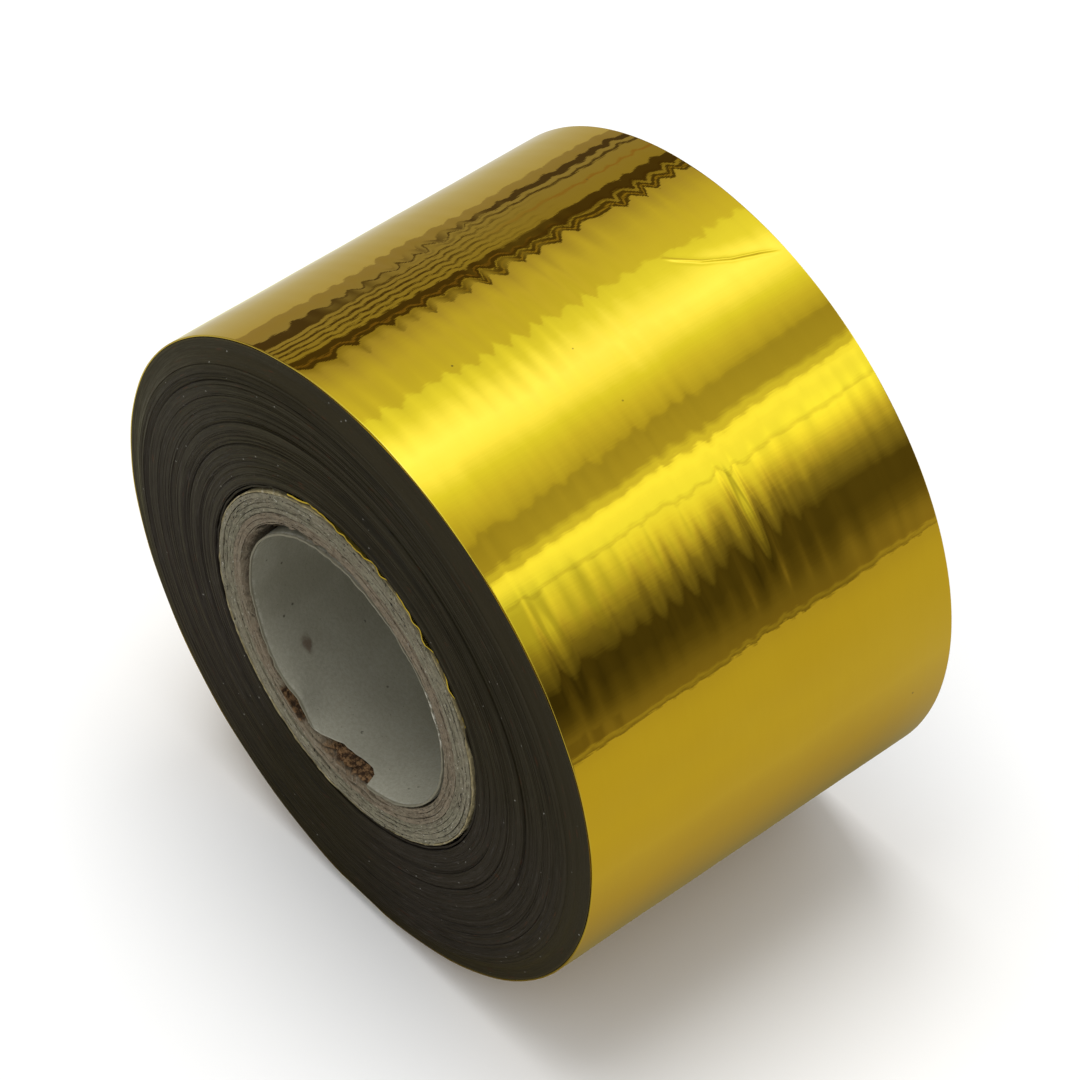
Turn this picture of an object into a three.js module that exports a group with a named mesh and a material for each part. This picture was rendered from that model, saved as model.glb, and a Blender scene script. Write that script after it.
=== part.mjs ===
// A roll of metallised foil film wound on a spiral-ply paperboard core.
// The roll lies on its side: its axis runs along Y and its origin is the middle of the overall box.
// +Z is up. All lengths are in millimetres.
//
// Build order, from the bore outwards: liner, brown plies, grey plies, core wrap, start tape,
// first turns of the web, six packs of windings, the outermost turn, and the web's loose end in four leaves.

import * as THREE from 'three';

// ---- driving dimensions -------------------------------------------------------------------------
const WEB_WIDTH = 40.0;            // slit width of the foil web
const ROLL_R = 31.0;               // outer radius of the full roll
const BORE_R = 13.0;               // bore of a nominal one-inch core
const CORE_LENGTH = 41.0;          // the core is cut a little longer than the web
const CORE_PROUD = 1.1;            // how far the core stands out of the -Y end face
const SIDES = 64;                  // facets round the windings; a corner lies at the top
const CORE_SIDES = 48;             // facets round the core's plies
const FLAT_HALF_DEG = 5.625;       // half the arc that is pressed flat where the roll lies

const LINER_T = 0.35;              // inner liner paper
const PLY_T = 0.45;                // one ply of core board
const PLY_GAP = 0.05;              // glue line between plies, left open
const BROWN_PLIES = 3;
const GREY_PLIES = 4;
const WRAP_T = 0.15;               // outer wrap paper of the core

const TAPE_T = 0.15;               // double-sided start tape
const TAPE_LENGTH = 34.0;          // along the axis
const TAPE_ARC_DEG = 40.0;
const FIRST_TURNS_T = 0.2;         // the first turns of the web, pulled proud with the core
const PACK_GAP = 0.05;             // clearance between packs of windings
const PACK_OUTER_R = [19.2, 21.3, 23.6, 26.0, 28.3, 30.4];
const PACK_SHIFT = [-0.92, -0.92, -0.86, -0.82, -0.82, -0.35];   // how far each pack is pushed towards -Y
const FIRST_TURNS_SHIFT = -1.05;

const SKIN_T = 0.3;                // thickness given to the outermost turn and to the loose end
const SKIN_GAP = 0.3;              // clearance under them
const TAIL_ROOT_DEG = 151.875;     // where the loose end leaves the roll, measured from +X towards +Z
const TAIL_LEAF_DEG = 11.25;       // arc of one leaf of the loose end
const TAIL_LEAVES = 4;
const LEAF_GAP = 0.3;              // clearance at each fold line

// ---- derived ------------------------------------------------------------------------------------
const CENTRE_Y = (CORE_PROUD) / 2;                       // middle of the outer windings
const WEB_Y0 = CENTRE_Y - WEB_WIDTH / 2;                 // -Y edge of the outer windings
const CORE_Y0 = WEB_Y0 - CORE_PROUD;                     // -Y end of the core
const RAD = Math.PI / 180;

// ---- materials ----------------------------------------------------------------------------------
const mat = (color, roughness, metalness) => new THREE.MeshStandardMaterial({ color, roughness, metalness });
const gold = () => mat(0xc9a51c, 0.22, 1.0);
const slitEdge = () => mat(0x33312a, 0.55, 0.15);
const liner = () => mat(0x8f8f84, 0.85, 0.0);
const brown = () => mat(0x8a7560, 0.9, 0.0);
const grey = () => mat(0x84847a, 0.9, 0.0);
const wrap = () => mat(0xb0a988, 0.8, 0.0);
const tape = () => mat(0xd8d2b8, 0.5, 0.0);

// ---- solids -------------------------------------------------------------------------------------
// A ring or an arc is drawn as an outline in the plane across the axis and extruded along the axis.
// Its outline uses angles from +X towards +Z.
const corner = (r, deg) => new THREE.Vector2(r * Math.cos(deg * RAD), r * Math.sin(deg * RAD));

function roundOutline(r, sides, flat) {
  const pts = [];
  const bottom = -90;
  for (let i = 0; i < sides; i++) {
    const deg = bottom + (i * 360) / sides;
    if (flat && (i === 0)) continue;                    // the lowest corner is left out: that is the flat
    pts.push(corner(r, deg));
  }
  return pts;
}

// Extrudes along Z, then turns the solid so that the outline's (x, y) becomes (X, Z) and its depth runs along +Y.
function extrudeAlongY(shape, y0, length) {
  const g = new THREE.ExtrudeGeometry(shape, { depth: length, bevelEnabled: false, curveSegments: 1, steps: 1 });
  // (x, y, z) -> (x, -z, y) is a turn of +90 degrees about X; the depth then runs towards -Y
  g.rotateX(Math.PI / 2);
  g.translate(0, y0 + length, 0);
  return g;
}

function ring(name, rIn, rOut, y0, length, sides, material, flatOut = false) {
  const shape = new THREE.Shape(roundOutline(rOut, sides, flatOut));
  shape.holes.push(new THREE.Path(roundOutline(rIn, sides, false).reverse()));
  const mesh = new THREE.Mesh(extrudeAlongY(shape, y0, length), material);
  mesh.name = name;
  return mesh;
}

// An arc of film from degA to degB (counter-clockwise), with its ends set back by gapA and gapB millimetres of arc.
function arc(name, rIn, rOut, degA, degB, gapA, gapB, y0, length, material, flatOut = false) {
  const step = 360 / SIDES;
  const inner = [], outer = [];
  const push = (deg, side) => {
    // points lie on the same faceted outline as the packs, so that a cut end stays on its facet
    const k = Math.floor((deg + 90) / step + 1e-9);
    const d0 = -90 + k * step, d1 = d0 + step;
    const t = (deg - d0) / step;
    for (const [r, list] of [[rIn, inner], [rOut, outer]]) {
      const a = corner(r, d0), b = corner(r, d1);
      list.push(Math.abs(t) < 1e-9 ? a : new THREE.Vector2(a.x + (b.x - a.x) * t, a.y + (b.y - a.y) * t));
    }
  };
  const a = degA + gapA / rOut / RAD, b = degB - gapB / rOut / RAD;
  push(a);
  for (let k = Math.ceil((a + 90) / step + 1e-6); -90 + k * step < b - 1e-6; k++) {
    const deg = -90 + k * step;
    if (flatOut && Math.abs(((deg + 90) % 360 + 360) % 360) < 1e-6) continue;
    push(deg);
  }
  push(b);
  const shape = new THREE.Shape([...outer, ...inner.reverse()]);
  const mesh = new THREE.Mesh(extrudeAlongY(shape, y0, length), material);
  mesh.name = name;
  return mesh;
}

const roll = new THREE.Group();
roll.name = 'foil_roll';

// ---- core ---------------------------------------------------------------------------------------
const core = new THREE.Group();
core.name = 'core';
let r = BORE_R;
core.add(ring('core_liner', r, r + LINER_T, CORE_Y0, CORE_LENGTH, CORE_SIDES, liner()));
r += LINER_T + PLY_GAP;
for (let i = 1; i <= BROWN_PLIES; i++) {
  core.add(ring(`core_ply_brown_${i}`, r, r + PLY_T, CORE_Y0, CORE_LENGTH, CORE_SIDES, brown()));
  r += PLY_T + PLY_GAP;
}
for (let i = 1; i <= GREY_PLIES; i++) {
  core.add(ring(`core_ply_grey_${i}`, r, r + PLY_T, CORE_Y0, CORE_LENGTH, CORE_SIDES, grey()));
  r += PLY_T + PLY_GAP;
}
core.add(ring('core_wrap', r, r + WRAP_T, CORE_Y0, CORE_LENGTH, CORE_SIDES, wrap()));
r += WRAP_T;
const CORE_R = r;
roll.add(core);

// ---- web ----------------------------------------------------------------------------------------
const web = new THREE.Group();
web.name = 'web';

// the strip of tape that holds the web's inner end to the core; it bends with the core's facets
{
  const step = 360 / CORE_SIDES;
  const rIn = CORE_R + PLY_GAP, rOut = rIn + TAPE_T;
  const n = Math.round(TAPE_ARC_DEG / step);
  const first = -90 + 12 * step;
  const outer = [], inner = [];
  for (let i = 0; i <= n; i++) {
    outer.push(corner(rOut, first + i * step));
    inner.push(corner(rIn, first + i * step));
  }
  const mesh = new THREE.Mesh(
    extrudeAlongY(new THREE.Shape([...outer, ...inner.reverse()]), CENTRE_Y - TAPE_LENGTH / 2, TAPE_LENGTH), tape());
  mesh.name = 'start_tape';
  web.add(mesh);
}

let rIn = CORE_R + PLY_GAP + TAPE_T + PLY_GAP;
web.add(ring('web_first_turns', rIn, rIn + FIRST_TURNS_T, WEB_Y0 + FIRST_TURNS_SHIFT, WEB_WIDTH, CORE_SIDES, gold()));
rIn += FIRST_TURNS_T + 2 * PACK_GAP;
PACK_OUTER_R.forEach((rOut, i) => {
  const last = i === PACK_OUTER_R.length - 1;
  web.add(ring(`web_windings_${i + 1}`, rIn, rOut, WEB_Y0 + PACK_SHIFT[i], WEB_WIDTH, SIDES, last ? gold() : slitEdge(), last));
  rIn = rOut + PACK_GAP;
});

const skinIn = ROLL_R - SKIN_T;
web.add(arc('web_outer_turn', skinIn, ROLL_R, TAIL_ROOT_DEG + TAIL_LEAVES * TAIL_LEAF_DEG, TAIL_ROOT_DEG + 360,
  LEAF_GAP / 2, LEAF_GAP / 2, WEB_Y0, WEB_WIDTH, gold(), true));
for (let i = 0; i < TAIL_LEAVES; i++) {
  const a = TAIL_ROOT_DEG + i * TAIL_LEAF_DEG;
  web.add(arc(`web_tail_${i + 1}`, skinIn, ROLL_R, a, a + TAIL_LEAF_DEG, LEAF_GAP / 2, LEAF_GAP / 2, WEB_Y0, WEB_WIDTH, gold()));
}
roll.add(web);

export default roll;
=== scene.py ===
import math

import bpy
import numpy as np
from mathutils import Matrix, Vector


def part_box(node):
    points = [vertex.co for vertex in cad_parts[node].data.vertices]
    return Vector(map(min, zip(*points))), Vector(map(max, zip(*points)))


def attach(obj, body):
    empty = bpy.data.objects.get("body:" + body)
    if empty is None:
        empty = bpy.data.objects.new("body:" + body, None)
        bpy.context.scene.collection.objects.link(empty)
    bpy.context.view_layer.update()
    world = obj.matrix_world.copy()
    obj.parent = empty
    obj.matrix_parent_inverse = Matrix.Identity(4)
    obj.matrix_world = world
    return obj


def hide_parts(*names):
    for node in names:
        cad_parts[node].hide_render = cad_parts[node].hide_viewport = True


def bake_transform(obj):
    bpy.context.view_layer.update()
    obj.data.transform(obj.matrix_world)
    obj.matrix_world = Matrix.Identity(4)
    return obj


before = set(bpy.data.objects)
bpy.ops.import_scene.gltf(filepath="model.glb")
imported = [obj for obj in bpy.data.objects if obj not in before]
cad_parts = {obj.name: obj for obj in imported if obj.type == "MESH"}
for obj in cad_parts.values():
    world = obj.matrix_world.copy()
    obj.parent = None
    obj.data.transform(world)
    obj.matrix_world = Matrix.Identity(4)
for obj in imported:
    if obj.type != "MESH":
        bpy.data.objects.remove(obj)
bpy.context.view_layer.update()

scene = bpy.context.scene
MM = 0.001

# ---------------------------------------------------------------- sizes read from the frame, in millimetres
o_lo, o_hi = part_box("web_outer_turn")
R_OUT = max(o_hi.x, -o_lo.x) / MM            # outer radius of the film
Y0 = o_lo.y / MM                             # near edge of the outermost turn
Y1 = o_hi.y / MM                             # far edge
WEB = Y1 - Y0                                # web width
CY = (Y0 + Y1) / 2
FLAT_Z = -o_lo.z / MM                        # the flat on which the roll lies
c_lo, c_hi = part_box("core_liner")
CORE0, CORE1 = c_lo.y / MM, c_hi.y / MM
FILM_T = 0.13                                # thickness shown for the outermost turn


def radii(node):
    """Inner and outer radius of a ring node, in millimetres."""
    co = np.array([v.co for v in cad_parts[node].data.vertices], float)
    r = np.hypot(co[:, 0], co[:, 2]) / MM
    return float(r.min()), float(r.max())


# ---------------------------------------------------------------- mesh helpers
def new_mesh(name, verts, quads, extra=(), flip=False, smooth=True, sharp=40.0):
    """A mesh object from an array of corners (mm), an array of quads and a few larger polygons."""
    verts = np.asarray(verts, float) * MM
    quads = np.asarray(quads, np.int64)
    extra = [list(e) for e in extra]
    if flip:
        quads = quads[:, ::-1]
        extra = [e[::-1] for e in extra]
    me = bpy.data.meshes.new(name)
    me.vertices.add(len(verts))
    me.vertices.foreach_set("co", verts.astype(np.float32).ravel())
    totals = np.concatenate([np.full(len(quads), 4, np.int64), np.array([len(e) for e in extra], np.int64)])
    loops = np.concatenate([quads.ravel()] + [np.array(e, np.int64) for e in extra]) if extra else quads.ravel()
    me.loops.add(len(loops))
    me.loops.foreach_set("vertex_index", loops.astype(np.int32))
    me.polygons.add(len(totals))
    starts = np.concatenate([[0], np.cumsum(totals)[:-1]])
    me.polygons.foreach_set("loop_start", starts.astype(np.int32))
    me.update(calc_edges=True)
    me.polygons.foreach_set("use_smooth", np.full(len(totals), bool(smooth)))
    me.validate()
    if smooth and sharp:
        me.set_sharp_from_angle(angle=math.radians(sharp))
    ob = bpy.data.objects.new(name, me)
    scene.collection.objects.link(ob)
    return ob


def sweep(name, theta, rr, yy, closed, smooth=True, sharp=40.0):
    """A profile loop swept round the axis. theta: degrees, n; rr and yy: n x k, the loop's radius and y at each angle."""
    n, k = rr.shape
    t = np.radians(theta)[:, None]
    verts = np.stack([rr * np.cos(t), yy, rr * np.sin(t)], -1).reshape(-1, 3)
    i = np.arange(n if closed else n - 1)
    a = (i[:, None] * k + np.arange(k)[None, :])
    b = (((i + 1) % n)[:, None] * k + np.arange(k)[None, :])
    quads = np.stack([a, np.roll(a, -1, 1), np.roll(b, -1, 1), b], -1).reshape(-1, 4)
    extra = [] if closed else [list(range(k))[::-1], list(range((n - 1) * k, n * k))]
    # the sign of the loop's area in the (r, y) plane says which way the faces point
    r0, y0 = rr[0], yy[0]
    area = np.sum(r0 * np.roll(y0, -1) - np.roll(r0, -1) * y0)
    return new_mesh(name, verts, quads, extra, flip=area > 0, smooth=smooth, sharp=sharp)


def smooth_noise(rng, n_theta, n_r, theta_sigma, r_sigma=0.0):
    """Noise n_theta x n_r, periodic in theta, unit deviation. Sigmas are in samples."""
    a = rng.standard_normal((n_theta, n_r))
    f = np.fft.rfft(a, axis=0)
    w = np.exp(-0.5 * (2 * np.pi * np.arange(f.shape[0]) / n_theta * theta_sigma) ** 2)
    a = np.fft.irfft(f * w[:, None], n=n_theta, axis=0)
    if r_sigma > 0 and n_r > 2:
        m = int(3 * r_sigma) + 1
        ker = np.exp(-0.5 * (np.arange(-m, m + 1) / r_sigma) ** 2)
        ker /= ker.sum()
        pad = np.pad(a, ((0, 0), (m, m)), mode="reflect") if n_r > m else np.pad(a, ((0, 0), (m, m)), mode="edge")
        a = np.stack([pad[:, j:j + n_r] * ker[j] for j in range(2 * m + 1)], 0).sum(0)
    return a / max(a.std(), 1e-9)


def bell(x, centre, width):
    return np.exp(-((x - centre) / width) ** 2)


def bump_deg(theta, centre, width):
    """A smooth bump in angle, in degrees, safe across the wrap."""
    d = (theta - centre + 180.0) % 360.0 - 180.0
    return np.exp(-(d / width) ** 2)


def window_deg(theta, a, b, soft):
    """1 between the angles a and b, with soft sides."""
    mid, half = (a + b) / 2, (b - a) / 2
    d = np.abs((theta - mid + 180.0) % 360.0 - 180.0)
    return 1 / (1 + np.exp((d - half) / soft))


# ---------------------------------------------------------------- node helpers
class Tree:
    def __init__(self, tree):
        self.t = tree
        tree.nodes.clear()

    def node(self, kind, **props):
        n = self.t.nodes.new(kind)
        for k, v in props.items():
            setattr(n, k, v)
        return n

    def put(self, socket, value):
        if isinstance(value, bpy.types.NodeSocket):
            self.t.links.new(value, socket)
        elif value is not None:
            if hasattr(socket.default_value, "__len__") and not hasattr(value, "__len__"):
                value = (value,) * len(socket.default_value)
            if hasattr(value, "__len__") and len(value) == 3 and len(socket.default_value) == 4:
                value = (*value, 1.0)
            socket.default_value = value

    def math(self, op, a, b=None, c=None, clamp=False):
        n = self.node("ShaderNodeMath", operation=op, use_clamp=clamp)
        for s, v in zip(n.inputs, (a, b, c)):
            self.put(s, v)
        return n.outputs[0]

    def mix(self, fac, a, b, blend="MIX"):
        n = self.node("ShaderNodeMix", data_type="RGBA", blend_type=blend)
        self.put(n.inputs["Factor"], fac)
        self.put(n.inputs[6], a)
        self.put(n.inputs[7], b)
        return n.outputs[2]

    def remap(self, v, a, b, c=0.0, d=1.0, kind="SMOOTHSTEP"):
        n = self.node("ShaderNodeMapRange", interpolation_type=kind)
        for s, x in zip((n.inputs["Value"], n.inputs["From Min"], n.inputs["From Max"], n.inputs["To Min"], n.inputs["To Max"]), (v, a, b, c, d)):
            self.put(s, x)
        return n.outputs["Result"]

    def noise(self, vec, scale, detail=2.0, rough=0.5, distortion=0.0, dims="3D"):
        n = self.node("ShaderNodeTexNoise", noise_dimensions=dims)
        self.put(n.inputs["Vector"], vec)
        self.put(n.inputs["Scale"], scale)
        self.put(n.inputs["Detail"], detail)
        self.put(n.inputs["Roughness"], rough)
        self.put(n.inputs["Distortion"], distortion)
        return n.outputs["Fac"]

    def voronoi(self, vec, scale, feature="F1", randomness=1.0):
        n = self.node("ShaderNodeTexVoronoi", feature=feature)
        self.put(n.inputs["Vector"], vec)
        self.put(n.inputs["Scale"], scale)
        self.put(n.inputs["Randomness"], randomness)
        return n.outputs["Distance"], n.outputs["Color"]

    def ramp(self, fac, stops, kind="LINEAR"):
        n = self.node("ShaderNodeValToRGB")
        n.color_ramp.interpolation = kind
        el = n.color_ramp.elements
        while len(el) < len(stops):
            el.new(1.0)
        for e, (p, c) in zip(el, sorted(stops, key=lambda s: s[0])):
            e.position = p
            e.color = (*c, 1.0) if hasattr(c, "__len__") else (c, c, c, 1.0)
        self.put(n.inputs[0], fac)
        return n.outputs[0]

    def xyz(self, x, y, z):
        n = self.node("ShaderNodeCombineXYZ")
        for s, v in zip(n.inputs, (x, y, z)):
            self.put(s, v)
        return n.outputs[0]

    def polar(self, scale=1000.0):
        """Object coordinates in millimetres: r, cos and sin of the angle round the axis, y, angle in degrees, and the vector."""
        tc = self.node("ShaderNodeTexCoord")
        vm = self.node("ShaderNodeVectorMath", operation="SCALE")
        self.t.links.new(tc.outputs["Object"], vm.inputs[0])
        vm.inputs["Scale"].default_value = scale
        sep = self.node("ShaderNodeSeparateXYZ")
        self.t.links.new(vm.outputs[0], sep.inputs[0])
        x, y, z = sep.outputs
        r = self.math("SQRT", self.math("ADD", self.math("MULTIPLY", x, x), self.math("MULTIPLY", z, z)))
        c, s = self.math("DIVIDE", x, r), self.math("DIVIDE", z, r)
        deg = self.math("MULTIPLY", self.math("ARCTAN2", z, x), 57.29578)
        return r, c, s, y, deg, vm.outputs[0]

    def streaks(self, r, c, s, y, r_freq, along, y_freq=0.0, detail=2.0, rough=0.5, scale=1.0):
        """Noise that is fine across the radius and long round the axis. r_freq is per mm, along the number of features round."""
        v = self.xyz(self.math("MULTIPLY", r, r_freq), self.math("ADD", self.math("MULTIPLY", c, along), self.math("MULTIPLY", y, y_freq)), self.math("MULTIPLY", s, along))
        return self.noise(v, scale, detail, rough)


def material(name):
    m = bpy.data.materials.new(name)
    m.use_nodes = True
    t = Tree(m.node_tree)
    out = t.node("ShaderNodeOutputMaterial")
    bsdf = t.node("ShaderNodeBsdfPrincipled")
    t.t.links.new(bsdf.outputs[0], out.inputs["Surface"])
    return m, t, bsdf


def bump(t, bsdf, height, strength, distance):
    n = t.node("ShaderNodeBump")
    n.inputs["Strength"].default_value = strength
    n.inputs["Distance"].default_value = distance
    t.put(n.inputs["Height"], height)
    t.t.links.new(n.outputs[0], bsdf.inputs["Normal"])
    return n


# ---------------------------------------------------------------- materials
def gold_film(name, base, base2, rough_lo, rough_hi, haze=0.0):
    """Vacuum-metallised film: a mirror with a trace of haze, dust and rubbed patches."""
    m, t, b = material(name)
    r, c, s, y, deg, v = t.polar()
    patch = t.noise(v, 0.09, 3.0, 0.55)
    fine = t.noise(v, 2.6, 3.0, 0.6)
    rub = t.streaks(r, c, s, y, 0.0, 9.0, 2.2, 3.0, 0.6)
    dist, _ = t.voronoi(v, 0.42)
    speck = t.remap(dist, 0.030, 0.055, 1.0, 0.0)
    few = t.remap(t.noise(v, 0.33, 1.0), 0.60, 0.66)
    speck = t.math("MULTIPLY", speck, few)
    col = t.mix(t.remap(patch, 0.35, 0.65), base, base2)
    col = t.mix(t.math("MULTIPLY", t.remap(rub, 0.3, 0.8), 0.06), col, tuple(0.8 * x for x in base))
    col = t.mix(t.math("MULTIPLY", speck, 0.75), col, (0.05, 0.03, 0.01))
    t.put(b.inputs["Base Color"], col)
    b.inputs["Metallic"].default_value = 1.0
    ro = t.math("ADD", t.remap(patch, 0.3, 0.75, rough_lo, rough_hi), t.math("MULTIPLY", t.remap(fine, 0.3, 0.8), 0.010 + haze))
    t.put(b.inputs["Roughness"], t.math("ADD", ro, t.math("MULTIPLY", speck, 0.3)))
    hair = t.noise(t.xyz(t.math("MULTIPLY", c, 62.0), t.math("MULTIPLY", y, 0.11), t.math("MULTIPLY", s, 62.0)), 1.0, 3.0, 0.65)
    bump(t, b, t.math("ADD", t.math("MULTIPLY", fine, 0.4), t.math("ADD", t.math("MULTIPLY", rub, 0.15), t.math("MULTIPLY", hair, 1.5))), 0.018, 0.0001)
    return m


def slit_edges(name):
    """Hundreds of slit film edges seen on end: fine grey-olive lines round the axis, rubbed and dusty, with painted
    highlights in two sectors.
    """
    m, t, b = material(name)
    r, c, s, y, deg, v = t.polar()
    fine = t.streaks(r, c, s, y, 9.0, 9.0, 0.0, 3.0, 0.65)
    mid = t.streaks(r, c, s, y, 2.3, 2.0, 0.0, 2.0, 0.55)
    long = t.streaks(r, c, s, y, 4.5, 7.0, 0.0, 4.0, 0.7)
    base = t.mix(t.remap(mid, 0.35, 0.65), (0.0165, 0.0130, 0.0058), (0.0245, 0.0198, 0.0100))
    # painted highlight: in two sectors round the axis the colour is lifted to a paler grey and the paler grey lines
    # show strongest there, standing in for light the slit edges catch
    painted_sheen_sector = t.math("MAXIMUM", t.remap(t.math("MULTIPLY", c, -1.0), 0.35, 0.95), t.math("MULTIPLY", t.remap(t.math("SUBTRACT", t.math("MULTIPLY", c, 0.75), t.math("MULTIPLY", s, 0.66)), 0.55, 0.98), 0.9))
    base = t.mix(t.math("MULTIPLY", painted_sheen_sector, 0.55), base, (0.0290, 0.0240, 0.0226))
    # the paler lines: a quarter of their strength is the edges' own tone everywhere, the rest is painted highlight in
    # the two sectors
    line = t.remap(fine, 0.56, 0.74)
    line = t.math("MULTIPLY", line, t.math("ADD", 0.25, t.math("MULTIPLY", painted_sheen_sector, 0.75)))
    base = t.mix(t.math("MULTIPLY", line, 0.70), base, (0.072, 0.064, 0.056))
    dark = t.remap(long, 0.34, 0.46, 1.0, 0.0)
    base = t.mix(t.math("MULTIPLY", dark, 0.55), base, (0.0075, 0.0058, 0.0032))
    # the outer turns lie smoother and look browner
    outer = t.remap(r, R_OUT - 3.3, R_OUT - 1.5)
    base = t.mix(t.math("MULTIPLY", outer, 0.75), base, (0.0262, 0.0212, 0.0105))
    rim = t.remap(r, R_OUT - 0.42, R_OUT - 0.22)
    base = t.mix(t.math("MULTIPLY", rim, 0.6), base, (0.055, 0.043, 0.016))
    # dust and nicks
    d1, col1 = t.voronoi(v, 1.15)
    few = t.remap(t.noise(v, 0.8, 1.0), 0.56, 0.62)
    dust = t.math("MULTIPLY", t.remap(d1, 0.06, 0.11, 1.0, 0.0), few)
    base = t.mix(t.math("MULTIPLY", dust, 0.75), base, (0.30, 0.29, 0.26))
    red = t.math("MULTIPLY", t.remap(t.streaks(r, c, s, y, 5.0, 14.0, 0.0, 1.0, 0.5), 0.68, 0.76), 0.35)
    base = t.mix(red, base, (0.07, 0.022, 0.010))
    t.put(b.inputs["Base Color"], base)
    t.put(b.inputs["Roughness"], t.remap(fine, 0.3, 0.7, 0.42, 0.62))
    b.inputs["Specular IOR Level"].default_value = 0.07
    bump(t, b, t.math("ADD", fine, t.math("MULTIPLY", long, 0.7)), 0.45, 0.00008)
    return m


def board(name, light, dark, warm, fleck=1.0, torn=0.0):
    """Cut paperboard: felted fibres, long round the axis, with dark and white flecks."""
    m, t, b = material(name)
    r, c, s, y, deg, v = t.polar()
    ends = t.math("MULTIPLY", y, 1.0)
    fib = t.streaks(r, c, s, y, 2.5, 20.0, 1.6, 4.0, 0.68)
    fib2 = t.streaks(r, c, s, y, 6.0, 34.0, 3.0, 2.0, 0.6)
    soft = t.noise(v, 0.75, 2.0, 0.6)
    grain = t.noise(v, 5.5, 2.0, 0.6)
    col = t.mix(t.remap(fib, 0.32, 0.68), dark, light)
    col = t.mix(t.math("MULTIPLY", t.remap(soft, 0.35, 0.7), 0.45), col, warm)
    col = t.mix(t.math("MULTIPLY", t.remap(grain, 0.3, 0.75), 0.30), col, tuple(min(1.0, 1.35 * x) for x in light))
    dk = t.math("MULTIPLY", t.remap(fib2, 0.375, 0.335), 0.80 * fleck)
    col = t.mix(dk, col, (0.035, 0.030, 0.022))
    wt = t.math("MULTIPLY", t.remap(fib2, 0.665, 0.71), 0.7 * fleck)
    col = t.mix(wt, col, (0.46, 0.44, 0.37))
    if torn:
        # the lower left of the near end, where the liner has torn off and left raw orange-brown fibre
        where = t.remap(t.math("ABSOLUTE", t.math("ADD", deg, 92.0)), 10.0, 17.0, 1.0, 0.0)
        where = t.math("MAXIMUM", where, t.remap(t.math("ABSOLUTE", t.math("ADD", deg, 124.5)), 6.0, 8.5, 1.0, 0.0))
        where = t.math("MULTIPLY", where, t.remap(y, CORE0 + 2.6, CORE0 + 3.6, 1.0, 0.0))
        rag = t.mix(t.remap(t.noise(v, 2.4, 3.0, 0.7), 0.40, 0.64), (0.032, 0.017, 0.008), (0.205, 0.118, 0.055))
        inner = t.remap(r, 13.70, 14.00, 1.0, 0.0)
        col = t.mix(t.math("MULTIPLY", t.math("MULTIPLY", where, inner), torn), col, rag)
    t.put(b.inputs["Base Color"], col)
    t.put(b.inputs["Roughness"], t.remap(fib, 0.3, 0.7, 0.82, 0.97))
    b.inputs["Specular IOR Level"].default_value = 0.18
    bump(t, b, t.math("ADD", t.math("ADD", fib, t.math("MULTIPLY", grain, 0.7)), t.math("MULTIPLY", fib2, 0.8)), 0.6, 0.00025)
    return m


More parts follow.
